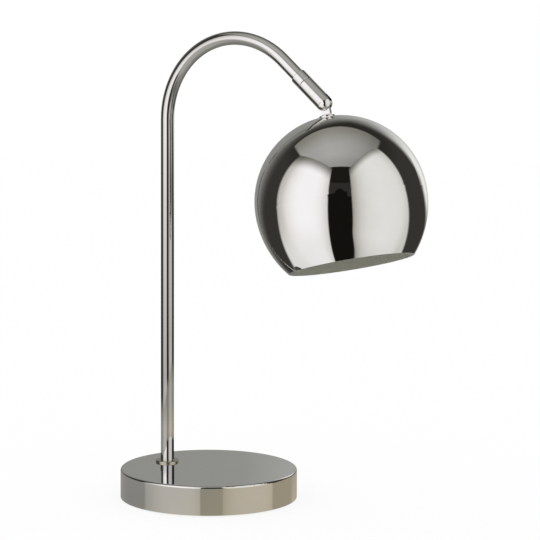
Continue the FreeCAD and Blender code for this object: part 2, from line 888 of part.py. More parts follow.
def swivel_grub_screw():
    """Screw through the knuckle's wall whose tip runs in the stem's groove."""
    body = new_body("swivel_grub_screw", on(
        knuckle_frame, spot(z=groove_level, turn=ABOUT_Y, angle=-90)))
    tip = size.stem_radius - size.groove_depth + size.grub_clearance
    shoulder = size.stem_radius + size.grub_clearance
    outer = size.knuckle_radius - size.pin_sink
    turned(body, [
        (0, tip),
        (size.grub_tip_radius, tip),
        (size.grub_tip_radius, shoulder),
        (size.grub_radius, shoulder),
        (size.grub_radius, outer),
        (0, outer),
    ])
    cut(body, draw(new_sketch(body, lift=outer), hexagon(size.hex_socket_flats)),
        size.hex_socket_depth)


def pivot_pins():
    """Two flush pins, one from each side, so the lead can pass between them."""
    body = new_body("pivot_pins", knuckle_frame)
    body.AllowCompound = True
    inner = size.tongue_thickness / 2 - size.pin_bite
    outer = root(size.knuckle_radius * size.knuckle_radius - size.dome_rise * size.dome_rise)
    pin = padded(body, draw_circle(
        new_sketch(body, "XZ_Plane", lift=inner), 0, 0, size.pin_radius),
        outer - size.pin_sink - inner)
    mirrored(body, [pin], "XZ_Plane")


def friction_washers():
    """Thin washers between the tongue and each ear of the knuckle."""
    body = new_body("friction_washers", knuckle_frame)
    body.AllowCompound = True
    face = size.tongue_thickness / 2 + size.washer_play
    sketch = draw_circle(
        new_sketch(body, "XZ_Plane", lift=face), 0, 0, size.friction_washer_radius)
    draw_circle(sketch, 0, 0, size.pin_radius + size.fit_gap)
    washer = padded(body, sketch, size.friction_washer_thickness)
    mirrored(body, [washer], "XZ_Plane")


# Levels along the shade's Z, down from the pivot
crown_height = root(size.shade_radius * size.shade_radius
                    - size.crown_radius * size.crown_radius)
crown = -size.neck_drop
shade_middle = crown - crown_height
flange_top = crown + size.flange_thickness
washer_under = crown - size.shade_wall - size.washer_thickness
nut_under = washer_under - size.nut_thickness
holder_top = nut_under - size.holder_drop
core_top = holder_top - size.core_drop
core_under = core_top - size.core_thickness
bulb_tip = core_under - size.centre_contact_height


def straight_edges(shape, level):
    """Names of a shape's straight edges that lie at one height."""
    names = []
    for number, edge in enumerate(shape.Edges, start=1):
        level_ends = all(abs(corner.Z - level) < 1e-6 for corner in edge.Vertexes)
        if level_ends and isinstance(edge.Curve, Part.Line):
            names.append(f"Edge{number}")
    return names


def shade_tongue():
    """Flat tongue that tilts in the knuckle, with the shade's flange and threaded stem."""
    body = new_body("shade_tongue", shade_frame)
    foot = crown - size.neck_stem_length
    turned(body, [
        (size.stem_bore, foot),
        (size.nipple_radius, foot),
        (size.nipple_radius, crown),
        (size.flange_radius, crown),
        (size.flange_radius, flange_top - size.edge_round, size.edge_round, "left"),
        (size.flange_radius - size.edge_round, flange_top),
        (0, flange_top),
        (0, crown),
        (size.stem_bore, crown),
    ])
    half = size.tongue_width / 2
    blade = draw(new_sketch(body, "XZ_Plane"), [
        (-half, flange_top - size.edge_round),
        (half, flange_top - size.edge_round),
        (half, 0, half, "left"),
        (0, half, half, "left"),
        (-half, 0),
    ])
    tongue = padded(body, blade, size.tongue_thickness, both=True)
    doc.recompute()
    foot_edges = straight_edges(tongue.Shape, flange_top.number)
    flare = body.newObject("PartDesign::Fillet", "shade_tongue_flare")
    flare.Base = (tongue, foot_edges)
    flare.setExpression("Radius", size.tongue_flare.text)
    across = size.channel_across / 2
    thick = size.channel_thick / 2
    cut(body, draw(new_sketch(body, lift=crown), rectangle(-across, across, -thick, thick)),
        forward=True)
    cut(body, draw_circle(
        new_sketch(body, "XZ_Plane"), 0, 0, size.pin_radius + size.run_gap), both=True)


lower_radius = ((size.mouth_depth * size.mouth_depth
                 + (size.shade_radius - size.mouth_radius)
                 * (size.shade_radius - size.mouth_radius))
                / ((size.shade_radius - size.mouth_radius) * 2))


def shade_shell():
    """Spun ball, open below. Its upper half is round, and its lower half is drawn in less."""
    body = new_body("shade_shell", shade_frame)
    wall = size.shade_wall
    middle = shade_middle
    mouth = middle - size.mouth_depth
    inner_radius = size.shade_radius - wall
    inner_lower = lower_radius - wall
    inner_mouth = (size.shade_radius - lower_radius
                   + root(inner_lower * inner_lower - size.mouth_depth * size.mouth_depth))
    inner_height = crown_height - wall
    inner_crown = root(inner_radius * inner_radius - inner_height * inner_height)
    hole = size.nipple_radius + size.fit_gap
    turned(body, [
        (hole, crown),
        (size.crown_radius, crown, size.shade_radius, "right"),
        (size.shade_radius, middle, lower_radius, "right"),
        (size.mouth_radius, mouth),
        (inner_mouth, mouth, inner_lower, "left"),
        (inner_radius, middle, inner_radius, "left"),
        (inner_crown, crown - wall),
        (hole, crown - wall),
    ])


def shade_washer():
    body = new_body("shade_washer", on(shade_frame, spot(z=washer_under)))
    turned(body, rectangle(
        size.nipple_radius + size.fit_gap, size.shade_washer_radius, 0, size.washer_thickness))


def shade_nut():
    hex_nut("shade_nut", on(shade_frame, spot(z=nut_under)))


def holder_cap():
    """Lampholder's top, screwed onto the tongue's stem."""
    body = new_body("holder_cap", on(shade_frame, spot(z=holder_top)))
    inner = size.holder_radius - size.holder_wall
    shoulder = size.holder_neck_length + size.holder_shoulder
    bore = size.nipple_radius + size.fit_gap
    turned(body, [
        (bore, 0),
        (size.holder_neck_radius, 0),
        (size.holder_neck_radius, -size.holder_neck_length),
        (size.holder_radius, -shoulder),
        (size.holder_radius, -size.holder_cap_height),
        (inner, -size.holder_cap_height),
        (inner, -(shoulder + size.holder_wall)),
        (bore, -(shoulder + size.holder_wall)),
    ])


def holder_core():
    """Insulating core with the sleeve that carries the side contact."""
    body = new_body("holder_core", on(shade_frame, spot(z=core_top)))
    sleeve_end = size.core_thickness + size.core_sleeve_length
    turned(body, [
        (size.core_hole, 0),
        (size.core_radius, 0),
        (size.core_radius, -size.core_thickness),
        (size.core_sleeve_radius, -size.core_thickness),
        (size.core_sleeve_radius, -sleeve_end),
        (size.core_sleeve_bore, -sleeve_end),
        (size.core_sleeve_bore, -size.core_thickness),
        (size.core_hole, -size.core_thickness),
    ])


def holder_skirt():
    """Lampholder's outer skirt, with the mouth that the bulb enters."""
    body = new_body("holder_skirt", on(
        shade_frame, spot(z=holder_top - size.holder_cap_height)))
    inner = size.holder_radius - size.holder_wall
    mouth = inner - size.skirt_lip
    turned(body, [
        (inner, 0),
        (size.holder_radius, 0),
        (size.holder_radius, size.edge_round - size.skirt_height, size.edge_round, "right"),
        (size.holder_radius - size.edge_round, -size.skirt_height),
        (mouth, -size.skirt_height),
        (mouth, size.holder_wall - size.skirt_height),
        (inner, size.holder_wall - size.skirt_height),
    ])


def side_contact():
    """Metal shell in the core's sleeve that the bulb's cap screws into."""
    body = new_body("side_contact", on(shade_frame, spot(z=core_under)))
    outer = size.core_sleeve_bore - size.fit_gap
    inner = outer - size.contact_wall
    turned(body, [
        (outer - size.contact_ledge, 0),
        (outer, 0),
        (outer, -size.contact_length),
        (inner, -size.contact_length),
        (inner, -size.contact_wall),
        (outer - size.contact_ledge, -size.contact_wall),
    ])


def centre_contact():
    """Contact at the core's middle that the bulb's tip presses on."""
    body = new_body("centre_contact", on(shade_frame, spot(z=core_under)))
    half = size.core_hole / 2
    turned(body, [
        (0, size.centre_contact_height),
        (half, size.centre_contact_height),
        (half, 0),
        (size.centre_contact_radius, 0),
        (size.centre_contact_radius, -(size.centre_contact_height / 2)),
        (half, -size.centre_contact_height),
        (0, -size.centre_contact_height),
    ])


def bulb_cap():
    """Screw cap of the bulb, its thread as rings that each have a flank, a crest and a flank."""
    body = new_body("bulb_cap", on(shade_frame, spot(z=bulb_tip)))
    root_radius = size.bulb_cap_radius - size.thread_depth
    first = size.bulb_tip_height * 2
    corners = [
        (0, 0),
        (size.bulb_tip_radius, 0),
        (size.bulb_tip_radius, -size.bulb_tip_height),
        (root_radius, -first),
    ]
    for ring in range(THREAD_RINGS):
        top = first + size.thread_pitch * ring
        corners.append((root_radius, -(top + size.thread_pitch / 4)))
        corners.append((size.bulb_cap_radius, -(top + size.thread_pitch / 2)))
        corners.append((size.bulb_cap_radius, -(top + size.thread_pitch * 0.75)))
        corners.append((root_radius, -(top + size.thread_pitch)))
    inner = root_radius - size.contact_wall
    corners += [
        (root_radius, -size.bulb_cap_length),
        (inner, -size.bulb_cap_length),
        (inner, -(first + size.contact_wall)),
        (0, -(first + size.contact_wall)),
    ]
    turned(body, corners)


def bulb_glass():
    """Small ball bulb, hollow, with its neck inside the cap."""
    body = new_body("bulb_glass", on(shade_frame, spot(z=bulb_tip)))
    wall = size.glass_wall
    ball = size.bulb_radius
    middle = ball - size.bulb_length
    neck = size.bulb_neck_radius
    seat = size.bulb_cap_radius - size.thread_depth - size.contact_wall - size.fit_gap
    in_cap = -(size.bulb_cap_length - size.thread_pitch)
    below_cap = -(size.bulb_cap_length + size.fit_gap)
    inner_ball = ball - wall
    flare = ball * 1.3
    # The flared neck meets the ball where a triangle of sides 3, 4 and 5 does
    side = 0.8
    rise = 0.6
    turned(body, [
        (seat, in_cap),
        (seat, below_cap),
        (neck, below_cap),
        (neck, below_cap - size.thread_pitch, flare, "left"),
        (ball * side, middle + ball * rise, ball, "right"),
        (ball, middle, ball, "right"),
        (0, -size.bulb_length),
        (0, wall - size.bulb_length, inner_ball, "left"),
        (inner_ball, middle, inner_ball, "left"),
        (inner_ball * side, middle + inner_ball * rise, flare, "right"),
        (neck - wall, below_cap - size.thread_pitch - wall),
        (neck - wall, below_cap - wall),
        (seat - wall, below_cap - wall),
        (seat - wall, in_cap),
    ])


def shade_lead():
    """Flat lead from the tongue's head to the lampholder's core."""
    body = new_body("shade_lead", shade_frame)
    half_width = size.shade_lead_width / 2
    half_thick = size.shade_lead_thickness / 2
    foot = core_top - size.core_thickness / 2
    section = draw(new_sketch(body, lift=foot), rectangle(
        -half_width, half_width, -half_thick, half_thick))
    padded(body, section, -foot - size.pin_radius)


for make in (
    base_shell, base_weight, base_plate, base_pad, base_screws, cord_inlet_bush,
    pole_foot_ring, pole_nipple, pole_lock_washer, pole_lock_nut,
    terminal_block, terminal_sleeves, terminal_screws, terminal_fixing_screw,
    earth_tag, earth_screw, earth_wire,
    arm_tube, arm_lead, swivel_stem, swivel_collar,
    knuckle_fork, swivel_grub_screw, pivot_pins, friction_washers,
    shade_tongue, shade_shell, shade_washer, shade_nut,
    holder_cap, holder_core, holder_skirt, side_contact, centre_contact,
    bulb_cap, bulb_glass, shade_lead,
):
    make()
doc.recompute()

# Every feature has to be sound, and every cut has to take something away
for feature in doc.Objects:
    if "Invalid" in feature.State or "Error" in feature.State:
        raise RuntimeError(f"{feature.Label} failed: {feature.State}")
    if feature.TypeId in ("PartDesign::Pocket", "PartDesign::Groove"):
        if feature.BaseFeature.Shape.Volume - feature.Shape.Volume < 1e-3:
            raise RuntimeError(f"{feature.Label} cuts nothing")

# A piece that belongs to a group is written with its group
members = {piece.Name for group in doc.Objects
           if group.TypeId == "Part::Compound" for piece in group.Links}
pieces = [piece for piece in doc.Objects
          if piece.TypeId in ("PartDesign::Body", "Part::Compound") and piece.Name not in members]
for piece in pieces:
    if piece.Shape.isNull() or not piece.Shape.isValid():
        raise RuntimeError(f"{piece.Label} has no valid shape")

os.makedirs("parts", exist_ok=True)
for piece in pieces:
    piece.Shape.exportStep(f"parts/{piece.Label}.step")
    print(f"{piece.Label}: {len(piece.Shape.Solids)} solid(s), {piece.Shape.Volume:.1f} mm3")
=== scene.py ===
import json
import math

import bmesh
import bpy
from mathutils import Matrix, Vector


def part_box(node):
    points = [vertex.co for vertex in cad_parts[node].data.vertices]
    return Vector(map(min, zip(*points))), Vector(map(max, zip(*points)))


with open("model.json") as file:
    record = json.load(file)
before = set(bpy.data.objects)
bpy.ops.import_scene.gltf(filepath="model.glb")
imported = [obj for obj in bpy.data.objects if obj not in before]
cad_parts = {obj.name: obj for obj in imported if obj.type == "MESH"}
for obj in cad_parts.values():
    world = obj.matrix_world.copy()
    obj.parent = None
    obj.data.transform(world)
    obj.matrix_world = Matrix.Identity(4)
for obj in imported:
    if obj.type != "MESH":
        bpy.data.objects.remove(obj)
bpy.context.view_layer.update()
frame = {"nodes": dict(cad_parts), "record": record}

# The photo's camera: its turn about the upright, the direction towards it, its place, its axes
# as columns, its focal length and the photo's side in pixels, and its sensor in millimetres
YAW = math.radians(33.2384)
TO_CAMERA = (0.5425, -0.8279, 0.1424)
CAMERA_PLACE = (1.4097055, -2.0516099, 0.5663081)
CAMERA_AXES = (
    (0.8359656, -0.0825547, 0.5425368),
    (0.5487560, 0.1161586, -0.8278732),
    (0.0053245, 0.9897939, 0.1424070),
)
FOCAL_PIXELS = 2800.0
PHOTO_PIXELS = 540.0
SENSOR_WIDTH = 36.0

WHITE = (1.0, 1.0, 1.0, 1.0)


# Node helpers

class Nodes:
    """Short calls for building a node tree. A socket, a number or a colour can feed any input."""

    def __init__(self, tree):
        self.tree = tree

    def add(self, kind, **settings):
        node = self.tree.nodes.new(kind)
        for name, value in settings.items():
            setattr(node, name, value)
        return node

    def feed(self, socket, value):
        if isinstance(value, bpy.types.NodeSocket):
            self.tree.links.new(value, socket)
        elif value is not None:
            socket.default_value = value

    def math(self, operation, first, second=None, third=None, clamp=False):
        node = self.add("ShaderNodeMath", operation=operation, use_clamp=clamp)
        for socket, value in zip(node.inputs, (first, second, third)):
            self.feed(socket, value)
        return node.outputs[0]

    def vector(self, operation, first, second=None):
        """Second is a vector, or a number where the first is scaled."""
        node = self.add("ShaderNodeVectorMath", operation=operation)
        self.feed(node.inputs[0], first)
        self.feed(node.inputs["Scale" if operation == "SCALE" else 1], second)
        return node.outputs[0]

    def step(self, value, low, high):
        """0 below low and 1 above high, smooth between. High may be under low."""
        node = self.add("ShaderNodeMapRange", interpolation_type="SMOOTHSTEP", clamp=True)
        self.feed(node.inputs["Value"], value)
        if low < high:
            ends = (low, high, 0.0, 1.0)
        else:
            ends = (high, low, 1.0, 0.0)
        for socket, end in zip(list(node.inputs)[1:5], ends):
            self.feed(socket, end)
        return node.outputs[0]

    def both(self, *masks):
        """All masks at once: their product."""
        result = masks[0]
        for mask in masks[1:]:
            result = self.math("MULTIPLY", result, mask)
        return result

    def length(self, first, second):
        """The root of the sum of two squares."""
        return self.math("SQRT", self.math("ADD", self.math("MULTIPLY", first, first),
                                           self.math("MULTIPLY", second, second)))

    def object_place(self):
        return self.add("ShaderNodeTexCoord").outputs["Object"]

    def split(self, vector):
        axes = self.add("ShaderNodeSeparateXYZ")
        self.feed(axes.inputs[0], vector)
        return axes.outputs

    def mix(self, factor, first, second):
        node = self.add("ShaderNodeMix", data_type="RGBA")
        self.feed(node.inputs["Factor"], factor)
        self.feed(node.inputs["A"], first)
        self.feed(node.inputs["B"], second)
        return node.outputs["Result"]

    def ramp(self, value, stops):
        node = self.add("ShaderNodeValToRGB")
        ramp = node.color_ramp
        while len(ramp.elements) < len(stops):
            ramp.elements.new(0.5)
        for element, (place, tone) in zip(ramp.elements, stops):
            element.position = place
            element.color = (*tone, 1.0)
        self.feed(node.inputs["Fac"], value)
        return node.outputs["Color"]

    def facing_camera(self, place):
        """The place turned about the upright, so that x is right, y away and z up in the photo."""
        turned = self.add("ShaderNodeVectorRotate", rotation_type="Z_AXIS")
        self.feed(turned.inputs["Vector"], place)
        self.feed(turned.inputs["Angle"], -YAW)
        return turned.outputs[0]

    def glow(self, tone):
        node = self.add("ShaderNodeEmission")
        self.feed(node.inputs["Color"], tone)
        return node.outputs[0]

    def blend(self, factor, first, second):
        """Two shaders, the first where the factor is 0 and the second where it is 1."""
        node = self.add("ShaderNodeMixShader")
        for socket, value in zip(node.inputs, (factor, first, second)):
            self.feed(socket, value)
        return node.outputs[0]

    def finish(self, shader):
        output = self.add("ShaderNodeOutputMaterial")
        self.feed(output.inputs["Surface"], shader)


def colour(red, green, blue):
    return (red, green, blue, 1.0)


def blank_material(name):
    """A material with an empty tree, and its nodes."""
    material = bpy.data.materials.new(name)
    material.use_nodes = True
    material.node_tree.nodes.clear()
    return material, Nodes(material.node_tree)


def stage_object(name, mesh, place, hidden_from):
    """An object round the lamp that isn't part of it, hidden from some kinds of ray."""
    thing = bpy.data.objects.new(name, mesh)
    thing.location = place
    bpy.context.scene.collection.objects.link(thing)
    for ray in hidden_from:
        setattr(thing, "visible_" + ray, False)


# Studio: a white tent round the lamp, open where the camera looks in, with a pale ceiling,
# black flats at the sides and a pale wall behind. Only what is polished or clear shows it.

TENT_RADIUS = 0.80
TENT_MIDDLE = (0.144, -0.009, 0.280)
BALL_RADIUS = 0.075
BALL_TO_CAMERA = (-0.025, -0.993, 0.118)

# The tent is painted as the ball shows it to the camera. Each place in it is two angles in
# degrees: the turn to the right of the camera, and the rise above the level.
GAP_TURN = (-19.3, 12.2)
GAP_TOP = 53.0
LEFT_WALL_PLANE = (-1.221, -0.827)
RIGHT_WALL_PLANE = (1.800, -0.820)

# The height where the tube's bend starts, and its radius
BEND_START = 0.3415
BEND_RADIUS = 0.0755

# The film that paints reflections and shade onto the tube, from above the foot ring to that many
# degrees round the bend, and how much its painted grey reflection and its painted dark reflected
# lines cover
SCRIM_RADIUS = 0.0062
SCRIM_FOOT = 0.0295
SCRIM_END = 129.0
SCRIM_STEPS = 60
SCRIM_SIDES = 64
PAINTED_REFLECTION_COVER = 0.86
PAINTED_DARK_LINE_COVER = 0.97

# The floor, and the bench top over it
FLOOR_RADIUS = 3.0
FLOOR_LEVEL = -0.0004
FLOOR_GLOW = 0.82
BENCH_RADIUS = 0.62
BENCH_LEVEL = -0.0002
BENCH_SHIFT = (0.063, 0.071, 0.0)
DISC_SIDES = 96

# The middle of the shade, and how squarely a face of its inside has to look at it
SHADE_MIDDLE = Vector((0.14396, -0.00875, 0.28040))
INWARD = 0.6


def ellipse(nodes, first, second, centre, radii):
    """1 on an ellipse in two measures, and less inside it."""
    across = nodes.math("DIVIDE", nodes.math("SUBTRACT", first, centre[0]), radii[0])
    along = nodes.math("DIVIDE", nodes.math("SUBTRACT", second, centre[1]), radii[1])
    return nodes.length(across, along)


def turn_ramp(nodes, turn, low, high, stops, tint):
    """A grey that changes with the turn, times a tint, and warmer where it is dim."""
    def toned(grey):
        red, green, blue = tint
        return (grey * red, grey * green * (0.98 + 0.02 * grey), grey * blue * (0.82 + 0.18 * grey))

    place = nodes.math("DIVIDE", nodes.math("SUBTRACT", turn, low), high - low)
    return nodes.ramp(place, [((at - low) / (high - low), toned(grey)) for at, grey in stops])


def tent_pattern(nodes):
    """The colour of the tent in each direction from its middle."""
    place = nodes.facing_camera(nodes.object_place())
    outward = nodes.vector("NORMALIZE", place)
    for _ in range(3):
        ball_normal = nodes.vector("NORMALIZE", nodes.vector("ADD", outward, BALL_TO_CAMERA))
        outward = nodes.vector("NORMALIZE", nodes.vector(
            "SUBTRACT", place, nodes.vector("SCALE", ball_normal, BALL_RADIUS)))
    right, away, up = nodes.split(outward)
    turn = nodes.math("DEGREES", nodes.math("ARCTAN2", right, nodes.math("MULTIPLY", away, -1.0)))
    rise = nodes.math("DEGREES", nodes.math("ARCSINE", up))

    def below_top(plane):
        """How far a direction lies below the top of a wall."""
        across, along = plane
        reach = nodes.math("ADD", nodes.math("MULTIPLY", right, across),
                           nodes.math("MULTIPLY", away, along))
        return nodes.math("SUBTRACT", reach, up)

    # White walls, which carry on down into the table
    low = nodes.step(rise, -10.0, -50.0)
    left_high = turn_ramp(nodes, turn, -160.0, -10.0, [
        (-98.5, 0.46), (-88.0, 0.62), (-80.0, 0.82), (-70.0, 0.96), (-60.0, 1.01),
        (-38.0, 1.00), (-30.0, 0.93), (-23.0, 0.78), (-17.5, 0.62)], (1.02, 1.00, 1.02))
    left_low = turn_ramp(nodes, turn, -160.0, -10.0, [
        (-150.0, 0.78), (-110.0, 0.80), (-90.0, 0.86), (-78.0, 0.91), (-50.0, 0.93),
        (-32.0, 0.91), (-24.0, 0.78), (-17.5, 0.60)], (1.00, 0.985, 1.00))
    left_below = below_top(LEFT_WALL_PLANE)
    right_below = below_top(RIGHT_WALL_PLANE)

    dimness = nodes.mix(nodes.step(left_below, 0.0, 0.48), colour(0.235, 0.230, 0.205), WHITE)
    left_white = nodes.vector("MULTIPLY", nodes.mix(low, left_high, left_low), dimness)
    slip = nodes.math("ADD", nodes.math("MULTIPLY", nodes.step(rise, -22.0, -75.0), 14.5),
                      nodes.math("MULTIPLY", nodes.step(rise, 20.0, -25.0), 1.2))
    slipped = nodes.math("SUBTRACT", turn, slip)
    right_white = turn_ramp(nodes, slipped, 5.0, 105.0, [
        (11.0, 0.28), (14.0, 0.40), (18.0, 0.53), (24.0, 0.67), (32.0, 0.765), (42.0, 0.815),
        (55.0, 0.84), (72.0, 0.825), (84.0, 0.80), (98.0, 0.64)], (1.00, 0.992, 0.992))
    dimness = nodes.mix(nodes.step(right_below, 0.0, 0.34), colour(0.350, 0.345, 0.315), WHITE)
    right_white = nodes.vector("MULTIPLY", right_white, dimness)
    right_white = nodes.vector("SCALE", right_white, nodes.math(
        "MULTIPLY_ADD", nodes.step(rise, -30.0, -66.0), -0.2, 1.0))
    result = nodes.mix(nodes.step(turn, 0.0, 1.0), left_white, right_white)

    # Black flats at the sides, with the pale wall behind showing between them
    flat = nodes.mix(nodes.step(rise, 28.0, 50.0), colour(0.039, 0.037, 0.033),
                     colour(0.026, 0.024, 0.021))
    side = nodes.math("MULTIPLY_ADD", right, 0.5, 0.5)
    back = nodes.ramp(side, [
        (0.15, (0.25, 0.25, 0.245)),
        (0.33, (0.28, 0.28, 0.27)),
        (0.49, (0.305, 0.307, 0.292)),
        (0.54, (0.41, 0.41, 0.40)),
        (0.60, (0.58, 0.58, 0.57)),
        (0.67, (0.74, 0.74, 0.73)),
        (0.74, (0.90, 0.90, 0.87)),
    ])
    back_left = nodes.step(ellipse(nodes, right, up, (-0.20, 0.10), (0.58, 0.57)), 1.20, 0.55)
    upper = nodes.math("MULTIPLY", nodes.math("SUBTRACT", up, 0.10), 1.0 / 0.56)
    lower = nodes.math("MULTIPLY", nodes.math("SUBTRACT", up, 0.10), -1.0 / 0.32)
    back_right = nodes.both(
        nodes.step(ellipse(nodes, right, nodes.math("MAXIMUM", upper, lower), (0.15, 0.0),
                           (0.48, 1.0)), 1.17, 0.84),
        nodes.step(up, 0.80, 0.12), nodes.step(up, -0.24, -0.08))
    back_shown = nodes.both(nodes.math("MAXIMUM", back_left, back_right),
                            nodes.step(away, 0.0, 0.3))
    behind = nodes.mix(back_shown, flat, back)

    def flat_edge(centre_turn, centre_rise, half_width, drop, climb, side_sign):
        """1 inside a flat: straight-sided at the middle, rounded below and a little above."""
        past = nodes.math("MULTIPLY", nodes.math("SUBTRACT", turn, centre_turn), side_sign)
        inner = nodes.math("DIVIDE", nodes.math("MAXIMUM", past, 0.0), half_width)
        lower = nodes.math("DIVIDE", nodes.math("SUBTRACT", centre_rise, rise), drop)
        upper = nodes.math("DIVIDE", nodes.math("SUBTRACT", rise, centre_rise), climb)
        height = nodes.math("MAXIMUM", nodes.math("MAXIMUM", lower, upper), 0.0)
        return nodes.step(nodes.length(inner, height), 1.06, 0.95)

    left_flat = nodes.both(flat_edge(-135.0, -5.0, 39.3, 40.2, 150.0, 1.0),
                           nodes.step(turn, 1.0, 0.0))
    right_flat = nodes.both(flat_edge(134.0, 13.0, 37.5, 53.5, 62.0, -1.0),
                            nodes.step(turn, 0.0, 1.0))
    result = nodes.mix(nodes.math("MAXIMUM", left_flat, right_flat), result, behind)

    # Tops of the white walls, dark above until the ceiling starts
    left_top = nodes.step(left_below, -0.03, 0.03)
    right_top = nodes.step(right_below, -0.03, 0.03)
    top = nodes.mix(nodes.step(turn, 0.0, 1.0), left_top, right_top)
    walls = nodes.both(nodes.step(turn, -99.5, -98.0), nodes.step(turn, 102.0, 100.0))
    shown = nodes.math("MAXIMUM", nodes.math("SUBTRACT", 1.0, walls), top)
    result = nodes.mix(shown, flat, result)

    # Ceiling, seen as a flat sheet
    height = nodes.math("MAXIMUM", up, 0.02)
    ceiling_x = nodes.math("DIVIDE", right, height)
    ceiling_y = nodes.math("DIVIDE", away, height)
    far_edge = nodes.math("MULTIPLY_ADD", nodes.math("MAXIMUM", ceiling_x, 0.0), 0.2, ceiling_y)
    overhead = nodes.both(
        nodes.step(ceiling_x, -0.94, -0.86), nodes.step(ceiling_x, 0.72, 0.64),
        nodes.step(ceiling_y, -0.74, -0.70), nodes.step(far_edge, 0.76, 0.67),
        nodes.step(up, 0.2, 0.25))
    ceiling = nodes.ramp(nodes.math("MULTIPLY_ADD", ceiling_y, 0.5, 0.5), [
        (0.20, (0.33, 0.325, 0.31)),
        (0.36, (0.41, 0.405, 0.39)),
        (0.50, (0.40, 0.395, 0.38)),
        (0.63, (0.33, 0.325, 0.30)),
        (0.75, (0.262, 0.255, 0.225)),
        (0.90, (0.24, 0.235, 0.205)),
    ])
    across = nodes.ramp(nodes.math("MULTIPLY_ADD", ceiling_x, 0.5, 0.5), [
        (0.22, (0.97, 0.97, 0.97)),
        (0.38, (1.08, 1.08, 1.08)),
        (0.50, (1.01, 1.01, 1.01)),
        (0.64, (0.87, 0.87, 0.87)),
        (0.78, (0.66, 0.66, 0.66)),
    ])
    open_above = nodes.math("SUBTRACT", 1.0, nodes.both(walls, top))
    result = nodes.mix(nodes.both(overhead, open_above), result,
                       nodes.vector("MULTIPLY", ceiling, across))

    # Dark gap where the camera looks in, with a paler band above its middle
    arch = ellipse(nodes, turn, rise, (-3.0, 14.0), (10.0, 10.5))
    band = nodes.both(nodes.step(rise, 14.5, 16.0), nodes.step(rise, 32.5, 31.0),
                      nodes.step(arch, 0.95, 1.10))
    gap_dark = nodes.mix(nodes.step(rise, 20.0, 40.0), colour(0.0075, 0.0065, 0.0053),
                         colour(0.0120, 0.0110, 0.0098))
    gap_colour = nodes.mix(band, gap_dark, colour(0.0300, 0.0280, 0.0255))
    gap_right = nodes.math("MULTIPLY", nodes.math("SUBTRACT", slipped, GAP_TURN[1]), nodes.math(
        "MULTIPLY_ADD", nodes.step(rise, -30.0, -60.0), -0.7, 1.0))
    gap = nodes.both(nodes.step(turn, GAP_TURN[0] - 1.2, GAP_TURN[0] + 1.0),
                     nodes.step(gap_right, 1.2, -0.8),
                     nodes.step(rise, GAP_TOP + 0.8, GAP_TOP - 0.8))
    return nodes.mix(gap, result, gap_colour)


def build_tent():
    """A dome of emission, flat at the table, that only polished and clear surfaces see."""
    mesh = bpy.data.meshes.new("tent")
    shape = bmesh.new()
    bmesh.ops.create_icosphere(shape, subdivisions=6, radius=TENT_RADIUS)
    table = -TENT_MIDDLE[2] - 0.001
    for corner in shape.verts:
        if corner.co.z < table:
            corner.co *= table / corner.co.z
    shape.to_mesh(mesh)
    shape.free()
    stage_object("tent", mesh, TENT_MIDDLE, ("camera", "diffuse", "shadow"))
    material, nodes = blank_material("tent")
    nodes.finish(nodes.glow(tent_pattern(nodes)))
    material.cycles.emission_sampling = "NONE"
    mesh.materials.append(material)


def tube_side(nodes):
    """Where a place on the tube is: its side as the photo shows it, from -1 (left, outer) to
    1 (right, inner), its height, and the angle it has come round the bend in degrees."""
    x, y, z = nodes.split(nodes.object_place())
    over = nodes.math("MAXIMUM", nodes.math("SUBTRACT", z, BEND_START), 0.0)
    before = nodes.math("SUBTRACT", BEND_RADIUS, x)
    away = nodes.length(over, before)
    inner = nodes.math("SUBTRACT", BEND_RADIUS, away)
    across, along, upward = TO_CAMERA
    lean = nodes.math("SUBTRACT",
                      nodes.math("MULTIPLY", nodes.math("DIVIDE", before, away), across),
                      nodes.math("MULTIPLY", nodes.math("DIVIDE", over, away), upward))
    side = nodes.math("ADD", nodes.math("MULTIPLY", inner, -along),
                      nodes.math("MULTIPLY", lean, y))
    reach = nodes.math("SQRT", nodes.math("MULTIPLY_ADD", lean, lean, along * along))
    side = nodes.math("DIVIDE", side, nodes.math("MULTIPLY", reach, SCRIM_RADIUS))
    return side, z, nodes.math("DEGREES", nodes.math("ARCTAN2", over, before))


def scrim_mesh():
    """A thin tube up the pole and round its bend, open at both ends."""
    mesh = bpy.data.meshes.new("scrim")
    shape = bmesh.new()
    path = [(0.0, SCRIM_FOOT, 0.0)]
    for step in range(SCRIM_STEPS + 1):
        turn = math.radians(SCRIM_END) * step / SCRIM_STEPS
        path.append((BEND_RADIUS * (1 - math.cos(turn)),
                     BEND_START + BEND_RADIUS * math.sin(turn), turn))
    rings = []
    for x, z, turn in path:
        ring = []
        for n in range(SCRIM_SIDES):
            angle = 2 * math.pi * n / SCRIM_SIDES
            out = SCRIM_RADIUS * math.cos(angle)
            ring.append(shape.verts.new((x + out * math.cos(turn),
                                         SCRIM_RADIUS * math.sin(angle),
                                         z - out * math.sin(turn))))
        rings.append(ring)
    for first, second in zip(rings, rings[1:]):
        for n in range(SCRIM_SIDES):
            shape.faces.new((first[n], first[n - 1], second[n - 1], second[n]))
    shape.to_mesh(mesh)
    shape.free()
    return mesh


